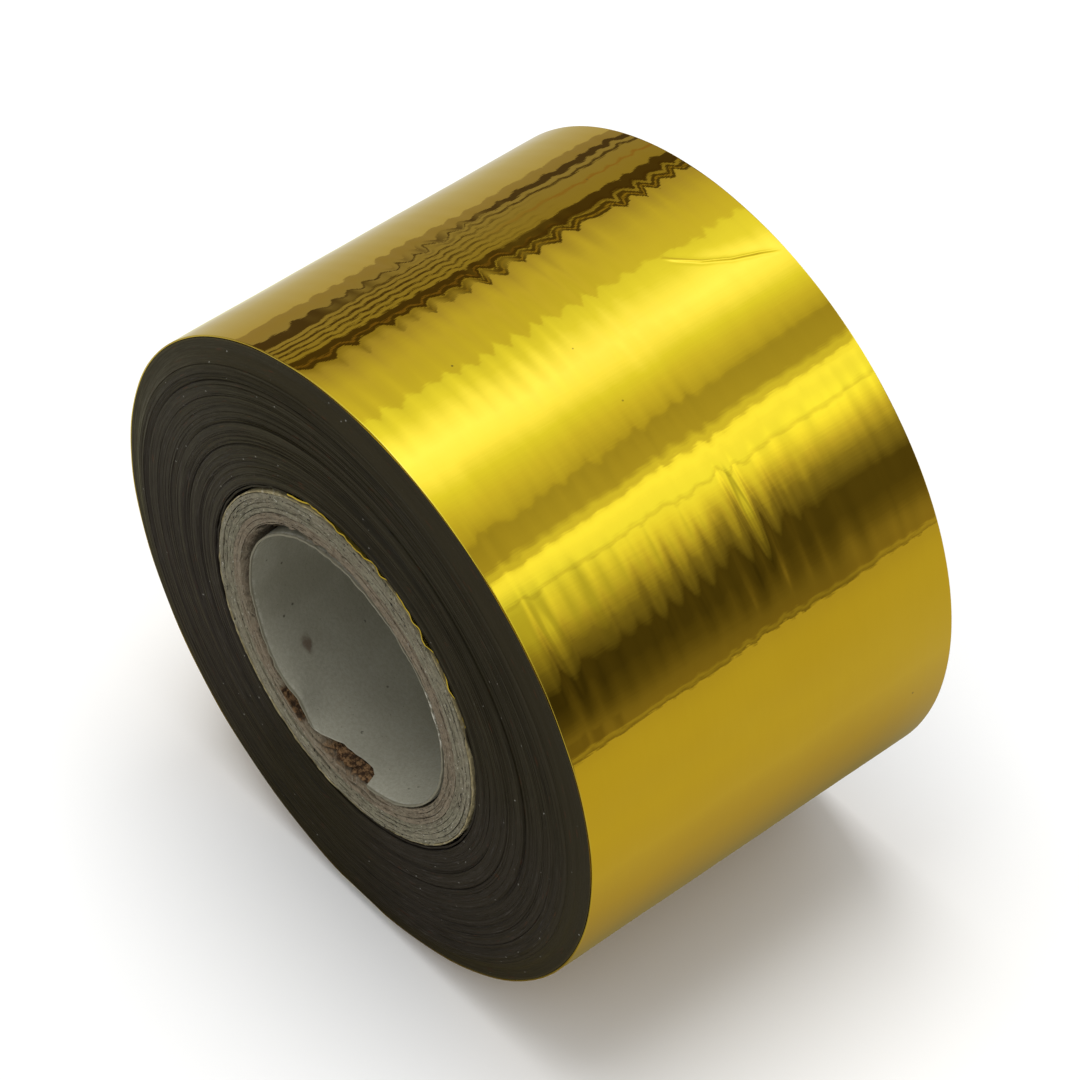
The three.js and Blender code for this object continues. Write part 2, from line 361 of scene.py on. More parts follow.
def liner_paper(name):
    """The bore's smooth light paper, with its spiral seam, specks, a stain and a scuffed edge, and painted light low in
    the bore and painted shade high in it.
    """
    m, t, b = material(name)
    r, c, s, y, deg, v = t.polar()
    base = t.mix(t.remap(t.noise(v, 0.16, 2.0, 0.5), 0.35, 0.65), (0.232, 0.222, 0.166), (0.285, 0.276, 0.215))
    # painted light: the paper is made lighter low in the bore near the near end, where light coming in through the
    # opening falls
    low = t.math("MULTIPLY", t.remap(s, -0.25, -0.95), t.remap(y, CORE0 + 16.0, CORE0 + 2.0))
    base = t.mix(t.math("MULTIPLY", low, 0.75), base, (0.385, 0.375, 0.305))
    # painted shade: the paper is made darker towards the top of the bore
    base = t.mix(t.math("MULTIPLY", t.remap(s, 0.0, 0.8), 0.35), base, (0.185, 0.178, 0.130))
    fibre = t.noise(v, 3.2, 4.0, 0.65)
    base = t.mix(t.math("MULTIPLY", t.remap(fibre, 0.3, 0.7), 0.30), base, (0.185, 0.176, 0.128))
    d, col = t.voronoi(v, 0.62)
    keep = t.remap(t.noise(v, 0.9, 1.0), 0.50, 0.56)
    dots = t.math("MULTIPLY", t.remap(d, 0.07, 0.12, 1.0, 0.0), keep)
    base = t.mix(t.math("MULTIPLY", dots, 0.75), base, (0.045, 0.038, 0.026))
    d2, col2 = t.voronoi(v, 1.7)
    dots2 = t.math("MULTIPLY", t.remap(d2, 0.07, 0.13, 1.0, 0.0), t.remap(t.noise(v, 1.4, 1.0), 0.52, 0.58))
    base = t.mix(t.math("MULTIPLY", dots2, 0.45), base, (0.09, 0.08, 0.055))
    # spiral seam of the liner strip
    turn = t.math("FRACT", t.math("ADD", t.math("DIVIDE", deg, 360.0), t.math("DIVIDE", y, 62.0)))
    seam = t.math("ABSOLUTE", t.math("SUBTRACT", turn, 0.83))
    base = t.mix(t.math("MULTIPLY", t.remap(seam, 0.0015, 0.0045, 1.0, 0.0), 0.45), base, (0.13, 0.125, 0.105))
    # brown stain near the edge, low on the left
    ds = t.math("SQRT", t.math("ADD", t.math("POWER", t.math("DIVIDE", t.math("SUBTRACT", deg, -142.0), 4.2), 2.0), t.math("POWER", t.math("DIVIDE", t.math("SUBTRACT", y, -16.8), 0.55), 2.0)))
    ds = t.math("ADD", ds, t.math("MULTIPLY", t.math("SUBTRACT", t.noise(v, 2.0, 3.0), 0.5), 1.2))
    base = t.mix(t.math("MULTIPLY", t.remap(ds, 0.3, 1.3, 1.0, 0.0), 0.72), base, (0.09, 0.05, 0.032))
    # scuffed pale cut edge
    edge = t.remap(t.math("ABSOLUTE", t.math("SUBTRACT", y, CY * 0.0)), CORE1 - 0.55, CORE1 - 0.12)
    edge = t.math("MULTIPLY", edge, t.remap(t.noise(v, 1.5, 3.0, 0.7), 0.42, 0.62))
    base = t.mix(t.math("MULTIPLY", edge, 0.6), base, (0.44, 0.43, 0.36))
    # the near cut edge is as dull as the board, but for a whitish frayed length on the right
    cut = t.remap(y, CORE0 + 0.16, CORE0 + 0.30, 1.0, 0.0)
    fray = t.math("MULTIPLY", t.remap(t.math("ABSOLUTE", t.math("SUBTRACT", deg, 20.0)), 9.0, 14.0, 1.0, 0.0), t.remap(t.noise(v, 1.7, 2.0, 0.6), 0.44, 0.56))
    base = t.mix(t.math("MULTIPLY", cut, 0.9), base, t.mix(fray, (0.165, 0.152, 0.106), (0.50, 0.48, 0.40)))
    t.put(b.inputs["Base Color"], base)
    t.put(b.inputs["Roughness"], t.remap(fibre, 0.3, 0.7, 0.62, 0.80))
    b.inputs["Specular IOR Level"].default_value = 0.12
    bump(t, b, t.math("ADD", fibre, t.math("MULTIPLY", t.noise(v, 0.5, 2.0), 1.5)), 0.30, 0.0002)
    return m


def wrap_paper(name):
    """The core's tan outer wrap: thin kraft with a yellow cast."""
    m, t, b = material(name)
    r, c, s, y, deg, v = t.polar()
    f = t.streaks(r, c, s, y, 3.0, 30.0, 2.5, 3.0, 0.6)
    col = t.mix(t.remap(f, 0.3, 0.7), (0.185, 0.150, 0.075), (0.330, 0.280, 0.150))
    pale = t.remap(t.streaks(r, c, s, y, 1.0, 22.0, 1.0, 2.0, 0.5), 0.58, 0.70)
    col = t.mix(t.math("MULTIPLY", pale, 0.6), col, (0.42, 0.39, 0.29))
    t.put(b.inputs["Base Color"], col)
    t.put(b.inputs["Roughness"], t.remap(f, 0.3, 0.7, 0.7, 0.9))
    b.inputs["Specular IOR Level"].default_value = 0.25
    bump(t, b, f, 0.5, 0.0002)
    return m


def tape(name):
    """Cream paper tape with a crepe texture."""
    m, t, b = material(name)
    r, c, s, y, deg, v = t.polar()
    f = t.streaks(r, c, s, y, 1.0, 60.0, 0.6, 3.0, 0.6)
    g = t.noise(v, 1.8, 3.0, 0.6)
    col = t.mix(t.remap(f, 0.3, 0.7), (0.56, 0.50, 0.36), (0.74, 0.70, 0.56))
    col = t.mix(t.math("MULTIPLY", t.remap(g, 0.4, 0.7), 0.3), col, (0.48, 0.42, 0.30))
    t.put(b.inputs["Base Color"], col)
    t.put(b.inputs["Roughness"], t.remap(g, 0.3, 0.7, 0.45, 0.65))
    bump(t, b, f, 0.5, 0.0001)
    return m


GOLD = (0.520, 0.345, 0.0165)
GOLD2 = (0.508, 0.332, 0.0155)
m_gold = gold_film("metallised_gold_face", GOLD, GOLD2, 0.006, 0.020)
m_gold_edge = gold_film("metallised_gold_cut_edge", (0.62, 0.47, 0.06), (0.50, 0.36, 0.03), 0.16, 0.28)
m_gold_back = gold_film("metallised_gold_coated_back", (0.36, 0.25, 0.040), (0.32, 0.215, 0.032), 0.20, 0.34, 0.06)
m_slit = slit_edges("slit_film_edges")
m_grey = board("grey_board_plies", (0.212, 0.198, 0.136), (0.125, 0.112, 0.076), (0.200, 0.165, 0.115), 1.25)
m_brown = board("brown_board_plies", (0.208, 0.168, 0.116), (0.128, 0.100, 0.066), (0.178, 0.162, 0.112), 0.8, torn=1.0)
m_liner = liner_paper("liner_paper")
m_wrap = wrap_paper("core_wrap_paper")
m_tape = tape("start_tape_paper")

# ---------------------------------------------------------------- the film's surface
# Ridges run round the roll where the film has bedded down unevenly. Each trough position is in mm from the near edge.
TROUGHS = np.array([0.6, 2.2, 4.8, 6.7, 8.6, 10.3, 12.0, 13.8, 15.5, 17.3, 18.8, 21.2, 22.9, 24.6, 27.0, 28.9, 31.9, 34.1, 35.7, 37.2, 38.9])
# ridge slope: rows are angles round the roll, columns distances from the near edge
A_TH = np.array([-25.0, 10.0, 23.0, 28.0, 34.0, 44.0, 48.0, 52.0, 57.0, 62.0, 72.0, 84.0, 97.5, 101.0, 109.0, 112.5, 116.0, 122.0, 140.0, 175.0])
A_U = np.array([0.0, 3.0, 6.0, 11.0, 14.0, 20.0, 24.0, 27.0, 33.0, 40.0])
A_TAB = np.array([
    [.008, .008, .008, .008, .008, .008, .008, .008, .008, .008],
    [.008, .010, .008, .008, .008, .010, .012, .010, .008, .008],
    [.008, .010, .006, .006, .008, .010, .012, .010, .007, .007],
    [.018, .036, .014, .016, .022, .032, .050, .020, .012, .010],
    [.050, .120, .030, .036, .050, .080, .220, .055, .018, .012],
    [.050, .130, .032, .042, .056, .080, .260, .065, .020, .014],
    [.030, .080, .022, .026, .030, .050, .150, .046, .016, .014],
    [.014, .050, .016, .016, .018, .030, .050, .022, .018, .018],
    [.018, .042, .018, .020, .022, .030, .036, .020, .018, .018],
    [.072, .110, .066, .076, .070, .076, .095, .036, .026, .024],
    [.014, .020, .014, .016, .022, .026, .040, .018, .014, .014],
    [.046, .052, .050, .054, .062, .058, .054, .034, .030, .034],
    [.044, .046, .046, .048, .056, .056, .050, .044, .040, .042],
    [.008, .010, .010, .010, .014, .016, .014, .014, .014, .016],
    [.008, .008, .008, .010, .012, .012, .010, .010, .010, .010],
    [.040, .040, .030, .050, .070, .066, .030, .026, .024, .024],
    [.016, .016, .014, .020, .030, .030, .018, .016, .016, .016],
    [.008, .008, .008, .010, .012, .014, .014, .012, .010, .010],
    [.007, .007, .007, .007, .007, .007, .007, .007, .007, .007],
    [.007, .007, .007, .007, .007, .007, .007, .007, .007, .007],
])


def slope_size(theta, u):
    th = np.clip(theta, A_TH[0], A_TH[-1])
    rows = np.stack([np.interp(th, A_TH, A_TAB[:, j]) for j in range(len(A_U))], 1)
    return np.stack([np.interp(u, A_U, row) for row in rows], 0)


def periodic(rng, theta_rad, count, low, high):
    """count smooth random functions of angle, unit deviation, with low..high waves round the roll."""
    m = np.arange(low, high + 1)
    amp = rng.standard_normal((count, len(m))) / np.sqrt(len(m))
    amp2 = rng.standard_normal((count, len(m))) / np.sqrt(len(m))
    ang = theta_rad[:, None] * m[None, :]
    return np.cos(ang) @ amp.T + np.sin(ang) @ amp2.T


def dist_to_line(px, py, pts):
    """Signed distance (positive above the line, in +py) and place along a polyline, in the same units."""
    best = np.full(px.shape, 1e9)
    sign = np.ones(px.shape)
    along = np.zeros(px.shape)
    total, at = sum(math.dist(a, b) for a, b in zip(pts[:-1], pts[1:])), 0.0
    for a, b in zip(pts[:-1], pts[1:]):
        ax, ay, bx, by = *a, *b
        dx, dy = bx - ax, by - ay
        length = math.hypot(dx, dy)
        t = np.clip(((px - ax) * dx + (py - ay) * dy) / length ** 2, 0, 1)
        d = np.hypot(px - (ax + t * dx), py - (ay + t * dy))
        sg = np.sign(dx * (py - ay) - dy * (px - ax))
        near = d < best
        best, sign, along = np.where(near, d, best), np.where(near, sg, sign), np.where(near, (at + t * length) / total, along)
        at += length
    return best * sign, along


def film_height(theta, u):
    """Height of the film above its nominal radius, in mm, at angles theta (degrees) and distances u (mm) from the near edge."""
    theta = (np.asarray(theta, float) + 180.0) % 360.0 - 180.0
    rad = np.radians(theta)
    rng = np.random.default_rng(20)
    k = len(TROUGHS)
    size = slope_size(theta, u)
    wander = 0.10 * periodic(rng, rad, k, 3, 12)
    strength = np.clip(0.90 + 0.30 * periodic(rng, rad, k, 2, 12), 0.25, 1.6)
    rise = np.clip(0.74 + 0.22 * periodic(rng, rad, k, 2, 12), 0.15, 1.3)
    drift = -0.014 * (theta - 84.5)
    fine_pos = np.cumsum(rng.uniform(0.42, 0.85, 80))
    fine_pos = fine_pos[fine_pos < 41]
    fine_amp = 0.15 * periodic(rng, rad, len(fine_pos), 3, 34) * np.where(np.arange(len(fine_pos)) % 2, 1.0, -1.0)
    slope = np.zeros((len(theta), len(u)))
    for i in range(len(theta)):
        p = np.sort(TROUGHS + drift[i] + wander[i])
        knots, vals = [p[0] - 2.0], [0.0]
        for j in range(k):
            knots.append(p[j])
            vals.append(-strength[i, j])
            nxt = p[j + 1] if j + 1 < k else p[j] + 1.6
            knots.append(p[j] + (nxt - p[j]) * (0.5 + 0.12 * math.sin(3.1 * j)))
            vals.append(rise[i, j])
        slope[i] = np.interp(u, knots, vals) + np.interp(u, fine_pos + drift[i], fine_amp[i])
    slope *= size
    du = np.gradient(u)
    h = np.cumsum(-slope * du[None, :], 1)
    # keep the ridges and drop the slow drift that adding up slopes leaves
    uu = np.linspace(u[0], u[-1], 401)
    hh = np.stack([np.interp(uu, u, row) for row in h])
    ker = np.exp(-0.5 * (np.arange(-60, 61) / 22.0) ** 2)
    ker /= ker.sum()
    pad = np.pad(hh, ((0, 0), (60, 60)), mode="edge")
    slow = np.stack([np.convolve(row, ker, mode="valid") for row in pad])
    h = h - np.stack([np.interp(u, uu, row) for row in slow])

    # slow waves that bend the reflections up and down
    for _ in range(46):
        m = int(rng.integers(7, 30)) * (1 if rng.random() < 0.5 else -1)
        fy = rng.uniform(-0.10, 0.10)
        a = 0.020 / abs(m) * rng.normal()
        h += a * np.cos(m * rad[:, None] + 2 * np.pi * fy * u[None, :] + rng.uniform(0, 6.28))

    arc = np.radians(theta) * R_OUT
    U, S = np.meshgrid(u, arc)
    # a pinched crease near the far edge, with the film lifted a little above it
    line = [(30.6, math.radians(83.2) * R_OUT), (31.4, math.radians(81.8) * R_OUT), (33.1, math.radians(79.3) * R_OUT), (35.4, math.radians(77.1) * R_OUT), (37.9, math.radians(75.5) * R_OUT), (39.6, math.radians(74.2) * R_OUT)]
    d, al = dist_to_line(U, S, line)
    ends = np.clip(al / 0.12, 0, 1) * np.clip((1 - al) / 0.22, 0, 1) ** 0.7
    h += ends * (0.026 * bell(d, 0.03, 0.085) + 0.012 * bell(d, 0.10, 0.22) - 0.012 * bell(d, -0.20, 0.16))
    h += ends * np.where(d > 0, 0.022 * bell(d, 1.3, 1.2), 0.0)
    # small dents
    for (cu, ct, rad_mm, depth) in ((3.35, 55.2, 0.55, -0.012), (31.4, -5.5, 0.30, -0.010), (34.2, -9.0, 0.34, -0.012), (15.4, 131.0, 0.26, 0.012), (33.4, -7.0, 0.22, 0.008), (9.4, 121.5, 0.22, -0.008)):
        cs = math.radians(ct) * R_OUT
        h += depth * np.exp(-((U - cu) ** 2 + (S - cs) ** 2) / rad_mm ** 2)
    return h


def film_columns(n=400):
    e = np.array([0.0, 0.015, 0.05])
    mid = np.linspace(0.1, WEB - 0.1, n)
    return np.concatenate([e, mid, WEB - e[::-1]])


U_COLS = film_columns(400)


def press_flat(r, theta):
    """Radii cut back to the flat on which the roll lies."""
    down = -np.sin(np.radians(theta))
    limit = np.where(down > 0.5, FLAT_Z / np.maximum(down, 0.5), 1e9)
    return np.minimum(r, limit[:, None])


def film_shell(name, theta, step_in=7):
    """A closed strip of film over the angles given, its outer face on the film's surface."""
    h = film_height(theta, U_COLS)
    wob = 0.02 * np.sin(np.radians(theta) * 9 + 1.0) + 0.012 * np.sin(np.radians(theta) * 23)
    r_top = R_OUT + h
    round_off = np.zeros_like(U_COLS)
    round_off[0], round_off[1] = 0.030, 0.008
    round_off[-1], round_off[-2] = 0.030, 0.008
    r_top = press_flat(r_top, theta) - round_off[None, :]
    y_top = Y0 + U_COLS[None, :] + wob[:, None] * (1 - U_COLS[None, :] / WEB)
    r_low = press_flat(np.full((len(theta), step_in), R_OUT), theta) - FILM_T
    u_low = np.linspace(WEB - 0.012, 0.012, step_in)
    y_low = Y0 + u_low[None, :] + wob[:, None] * (1 - u_low[None, :] / WEB)
    rr = np.concatenate([r_top, r_low], 1)
    yy = np.concatenate([y_top, y_low + 0 * r_low], 1)
    ob = sweep(name, theta, rr, yy, closed=False, sharp=50.0)
    me = ob.data
    for m in (m_gold, m_gold_edge, m_gold_back):
        me.materials.append(m)
    n_top, k = len(U_COLS), rr.shape[1]
    idx = np.arange((len(theta) - 1) * k) % k
    mat = np.zeros(len(me.polygons), np.int32)
    mat[:len(idx)] = np.where((idx < 2) | ((idx >= n_top - 3) & (idx < n_top)) | (idx == k - 1), 1, np.where(idx >= n_top, 2, 0))
    mat[len(idx):] = 1
    me.polygons.foreach_set("material_index", mat)
    return ob


TURN_FROM = 196.875                      # where the outermost turn starts, under the tail's end
TAIL_FROM = 146.25                       # where the tail pieces start
th_a = np.arange(TURN_FROM, 360 + 12, 1.3)
th_b = np.concatenate([np.arange(360 + 12, 360 + 72.4, 0.7), np.arange(360 + 72.4, 360 + 84.6, 0.14), np.arange(360 + 84.6, 360 + 128, 0.7)])
th_c = np.linspace(360 + 128, 360 + TAIL_FROM, 15)
th_flat = 270.0 + math.degrees(math.acos(FLAT_Z / R_OUT)) * np.array([-1.0, 1.0])
outer = film_shell("foil_outer_turn", np.unique(np.concatenate([th_a[th_a < 371.5], th_flat, th_b, th_c])))
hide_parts("web_outer_turn")
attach(outer, "roll")


mids = [TAIL_FROM, 157.5, 168.75, 180.0, TURN_FROM - 0.15]
for i in range(4):
    a, b = mids[i], mids[i + 1]
    piece = film_shell(f"foil_tail_{i + 1}", np.linspace(a, b, 27 if i < 3 else 39))
    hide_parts(f"web_tail_{i + 1}")
    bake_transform(piece)

# ---------------------------------------------------------------- the wound pack
PROUD_R = np.array([17.1, 17.6, 19.0, 22.6, 23.4, 25.0, 25.6, 28.2, 28.8, 29.2, 29.8, 30.2, 31.0])
PROUD_Y = np.array([0.92, 0.92, 0.93, 0.90, 0.82, 0.80, 0.86, 0.84, 0.68, 0.48, 0.12, 0.04, 0.00])
GROOVES = ((19.70, 0.10, 0.12), (21.40, 0.11, 0.10), (22.55, 0.05, 0.08), (25.1, 0.05, 0.07), (27.30, 0.10, 0.12), (28.35, 0.06, 0.09))


def pack_face(r, rng, n_theta, amp=1.0):
    """How far each turn's edge stands out of the pack, n_theta x len(r), in mm."""
    base = np.interp(r, PROUD_R, PROUD_Y)[None, :]
    for g, depth, width in GROOVES:
        base = base - depth * bell(r, g, width)[None, :]
    const = smooth_noise(rng, 4, len(r), 0.0, 0.0)[0][None, :]
    vary = smooth_noise(rng, n_theta, len(r), 26, 0.6)
    vary2 = smooth_noise(rng, n_theta, len(r), 7, 0.0)
    calm = np.interp(r, [28.0, 29.6, 31.0], [1.0, 0.35, 0.25])[None, :]
    return base + amp * calm * (0.026 * const + 0.022 * vary + 0.008 * vary2)


def ring_piece(name, r, y_lo, y_hi, theta, mats, side_mat=0, warp=None, sharp=40.0):
    """A ring with detailed end faces. r: the radii across the end; y_lo, y_hi: n_theta x len(r)."""
    n = len(theta)
    rr = np.concatenate([np.tile(r, (n, 1)), np.tile(r[::-1], (n, 1))], 1)
    if r[-1] > FLAT_Z - FILM_T - 0.06:
        squeeze = press_flat(np.full((n, 1), R_OUT), theta) / R_OUT
        share = np.clip((rr - 29.0) / (R_OUT - 29.0), 0, 1)
        rr = rr * (1 + (squeeze - 1) * share)
    if warp is not None:
        rr = rr + warp(rr, theta)
    yy = np.concatenate([y_lo, y_hi[:, ::-1]], 1)
    ob = sweep(name, theta, rr, yy, closed=True, sharp=sharp)
    for m in mats:
        ob.data.materials.append(m)
    k = rr.shape[1]
    idx = np.arange(n * k) % k
    wall = (idx == len(r) - 1)
    bore = (idx == k - 1)
    mat = np.where(wall | bore, side_mat, 0).astype(np.int32)
    ob.data.polygons.foreach_set("material_index", mat)
    return ob


n_pack = 300
th_pack = np.linspace(0, 360, n_pack, endpoint=False) + 0.37
for i in range(1, 7):
    node = f"web_windings_{i}"
    r_in, r_out = radii(node)
    # the packs lie against each other: no daylight shows between them
    r_in = max(r_in, 17.53) if i == 1 else r_in - 0.023
    r_out = R_OUT - FILM_T - 0.045 if i == 6 else r_out + 0.023
    rng = np.random.default_rng(100 + i)
    r = np.linspace(r_in, r_out, max(8, int((r_out - r_in) / 0.075)))
    lo = Y0 - pack_face(r, rng, n_pack)
    far = (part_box(node)[1].y / MM) - 0.5 * (pack_face(r, rng, n_pack) - np.interp(r, PROUD_R, PROUD_Y)[None, :].mean()) + 0.0
    ob = ring_piece(f"windings_{i}", r, lo, far, th_pack, (m_slit, m_slit if i < 6 else m_gold), side_mat=1)
    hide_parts(node)
    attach(ob, "roll")

# the first turns on the core stand proud and crinkle: a thin bright line round the upper right of the core
n_ft = 720
th_ft = np.linspace(0, 360, n_ft, endpoint=False)
rng = np.random.default_rng(55)
r_in, r_out = radii("web_first_turns")
r = np.array([r_in + 0.02, r_in + 0.07, r_out - 0.05, r_out])
high = window_deg(th_ft, 22.0, 112.0, 7.0)
crin = smooth_noise(rng, n_ft, 1, 2.2)[:, 0]
crin2 = smooth_noise(rng, n_ft, 1, 8.0)[:, 0]
proud = 0.84 + high * (0.10 + 0.085 * crin + 0.120 * crin2 + 0.10 * bump_deg(th_ft, 78.0, 16.0)) + 0.02 * crin
proud = np.clip(proud, 0.55, 1.22)
lo = Y0 - proud[:, None] * np.ones(4)[None, :] + np.array([0.03, 0.0, 0.0, 0.03])[None, :]
hi = np.full((n_ft, 4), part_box("web_first_turns")[1].y / MM) + 0.02 * crin[:, None] - np.array([0.03, 0.0, 0.0, 0.03])[None, :]
wob = 0.028 * smooth_noise(rng, n_ft, 1, 3.0)[:, 0]


def ft_warp(rr, theta):
    shift = (wob[:, None] - 0.02) * np.ones_like(rr) * 0.6
    # at the far end the turns lie close on the core, so there is no daylight under them
    shift[:, -2:] -= 0.20 * window_deg(theta, 44.0, 136.0, 4.0)[:, None]
    return shift


first = ring_piece("foil_first_turns", r, lo, hi, th_ft, (m_gold_edge, m_gold_back, m_slit), side_mat=1, warp=ft_warp)
ft_mat = np.where(np.repeat(high > 0.5, 8), 0, 2).astype(np.int32)
ft_side = (np.arange(n_ft * 8) % 8 == 3) | (np.arange(n_ft * 8) % 8 == 7)
ft_mat[ft_side] = np.where(np.repeat(high > 0.5, 8)[ft_side], 1, 2)
first.data.polygons.foreach_set("material_index", ft_mat)
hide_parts("web_first_turns")
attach(first, "roll")

# ---------------------------------------------------------------- the core
CORE_R_IN, CORE_R_OUT = radii("core_liner")[0], radii("core_wrap")[1]


def core_warp(rr, theta):
    """The bore is a little out of round, and the core's outside isn't."""
    t = np.radians(theta)[:, None]
    w = -0.20 * np.cos(2 * (t - math.radians(60))) + 0.09 * np.cos(3 * (t - math.radians(25))) - 0.16 * bump_deg(theta, 196.0, 26.0)[:, None]
    return w * np.clip((CORE_R_OUT - rr) / (CORE_R_OUT - CORE_R_IN), 0, 1)


plies = [("core_ply_brown_1", m_brown, "brown_board"), ("core_ply_brown_2", m_brown, "brown_board"), ("core_ply_brown_3", m_brown, "brown_board"),
         ("core_ply_grey_1", m_grey, "grey_board"), ("core_ply_grey_2", m_grey, "grey_board"), ("core_ply_grey_3", m_grey, "grey_board"),
         ("core_ply_grey_4", m_grey, "grey_board"), ("core_wrap", m_wrap, "wrap_paper")]
def ply_warp(rr, theta):
    """The plies part at the near end, where the photo shows their joints, and close up towards the far end."""
    n = rr.shape[1] // 2
    far = np.zeros_like(rr)
    far[:, n:] = np.linspace(0.023, -0.023, n)[None, :]
    return core_warp(rr, theta) + far


n_ply = 540
th_ply = np.linspace(0, 360, n_ply, endpoint=False) + 0.2
for j, (node, mat, slot_name) in enumerate(plies):
    rng = np.random.default_rng(300 + j)
    r_in, r_out = radii(node)
    nr = 8 if node != "core_wrap" else 4
    r = np.linspace(r_in, r_out, nr)
    y_a, y_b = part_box(node)[0].y / MM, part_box(node)[1].y / MM
    edge_drop = np.zeros(nr)
    edge_drop[0] = edge_drop[-1] = 0.012
    rough = 0.030 * smooth_noise(rng, n_ply, nr, 1.6, 0.0) + 0.030 * smooth_noise(rng, n_ply, nr, 6.0, 0.8)
    level = 0.05 * smooth_noise(rng, n_ply, 1, 30.0)
    lo = y_a + 0.06 + np.clip(rough + level + edge_drop[None, :], -0.055, 0.4)
    rough2 = 0.030 * smooth_noise(rng, n_ply, nr, 1.6, 0.0) + 0.030 * smooth_noise(rng, n_ply, nr, 6.0, 0.8)
    hi = y_b - 0.06 - np.clip(rough2 + edge_drop[None, :], -0.055, 0.4)
    if node == "core_ply_brown_1":
        # torn away behind the lifted liner, and parted from it on the left
        torn = window_deg(th_ply, 252.0, 282.0, 2.2)[:, None] * (0.85 + 0.35 * smooth_noise(rng, n_ply, nr, 3.0, 0.8))
        part = window_deg(th_ply, 108.0, 205.0, 8.0)[:, None] * np.clip(1.1 - (r - r_in) / 0.34, 0, 1)[None, :] * (0.75 + 0.45 * smooth_noise(rng, n_ply, nr, 2.2, 0.6))
        dent = window_deg(th_ply, 229.0, 243.0, 2.0)[:, None] * np.clip(1.25 - (r - r_in) / 0.46, 0, 1)[None, :] * (1.6 + 0.4 * smooth_noise(rng, n_ply, nr, 3.0, 0.5))
        lo = lo + torn + part + dent
    if node == "core_ply_brown_2":
        lo = lo + window_deg(th_ply, 256.0, 280.0, 2.5)[:, None] * (0.22 + 0.14 * smooth_noise(rng, n_ply, nr, 3.0, 0.8))
    ob = ring_piece(node.replace("core_", "board_") if node != "core_wrap" else "paper_wrap", r, lo, hi, th_ply, (mat,), warp=ply_warp if node != "core_wrap" else core_warp)
    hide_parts(node)
    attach(ob, "roll")

# the liner: a thin tube whose near edge is dented inwards in one place, and torn back and lifted in another
n_li = 600
th_li = np.linspace(0, 360, n_li, endpoint=False)
li_in, li_out = radii("core_liner")
rng = np.random.default_rng(77)
notch = np.interp(th_li, [247.0, 252.0, 260.0, 270.0, 276.0, 279.0, 281.5], [0.0, 0.50, 1.30, 1.75, 1.90, 1.55, 0.0]) * (1 + 0.08 * smooth_noise(rng, n_li, 1, 4.0)[:, 0])
notch = notch + 0.05 + 0.035 * smooth_noise(rng, n_li, 1, 1.8)[:, 0]
notch = np.clip(notch, 0.0, 2.6)
along = np.concatenate([np.linspace(0, 1.0, 10) ** 1.3 * 0.12, np.linspace(0.12, 1.0, 36)[1:]])
y_edge = CORE0 + notch
y_far = CORE1 - 0.03 - 0.03 * np.abs(smooth_noise(rng, n_li, 1, 2.0)[:, 0])
yv = y_edge[:, None] + (y_far - y_edge)[:, None] * along[None, :]
depth_in = yv - CORE0
lip1 = 1.25 * window_deg(th_li, 229.0, 243.0, 2.6)[:, None] * np.exp(-(depth_in / 1.9) ** 2)
lip2 = 0.22 * window_deg(th_li, 252.0, 276.0, 3.0)[:, None] * np.exp(-(np.maximum(depth_in - notch[:, None], 0) / 0.8) ** 2)
parted = 0.46 * window_deg(th_li, 112.0, 226.0, 9.0)[:, None] * np.exp(-(depth_in / 4.0) ** 2)
ripple = 0.018 * smooth_noise(rng, n_li, len(along), 9.0, 3.0)
inward = lip1 + lip2 + parted + ripple
inner_r = li_in - inward
thick = 0.26 - 0.08 * np.exp(-(np.maximum(depth_in - notch[:, None], 0) / 0.5) ** 2)
# deep in the bore the liner is still glued to the plies all round
thick = thick + 0.11 * np.clip((depth_in - 9.0) / 8.0, 0.0, 1.0)
outer_r = inner_r + thick
outer_r = np.minimum(outer_r, li_out + 0.02)
rr = np.concatenate([inner_r, outer_r[:, ::-1]], 1)
yy = np.concatenate([yv, yv[:, ::-1]], 1)
rr = rr + core_warp(rr, th_li)
liner = sweep("liner_tube", th_li, rr, yy, closed=True, sharp=50.0)
liner.data.materials.append(m_liner)
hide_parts("core_liner")
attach(liner, "roll")

# the strip of start tape keeps its own shape
tape_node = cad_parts["start_tape"]
tape_node.data.materials.clear()
tape_node.data.materials.append(m_tape)

# ---------------------------------------------------------------- camera
cam_data = bpy.data.cameras.new("camera")
cam = bpy.data.objects.new("camera", cam_data)
scene.collection.objects.link(cam)
AZ, EL = math.radians(49.76), math.radians(46.99)
back = Vector((math.sin(AZ) * math.cos(EL), -math.cos(AZ) * math.cos(EL), math.sin(EL)))
cam.location = Vector((0, CY * MM, 0)) + back * (12.406 * R_OUT * MM)
cam.rotation_mode = "QUATERNION"
cam.rotation_quaternion = (-back).to_track_quat("-Z", "Y")
cam_data.sensor_width = 36.0
cam_data.lens = 148.73
cam_data.shift_x, cam_data.shift_y = 0.0062, 0.0111
cam_data.clip_start, cam_data.clip_end = 0.01, 50.0
scene.camera = cam
scene.view_settings.view_transform = "Standard"
scene.view_settings.look = "None"
scene.view_settings.exposure = 0.0
scene.view_settings.gamma = 1.0

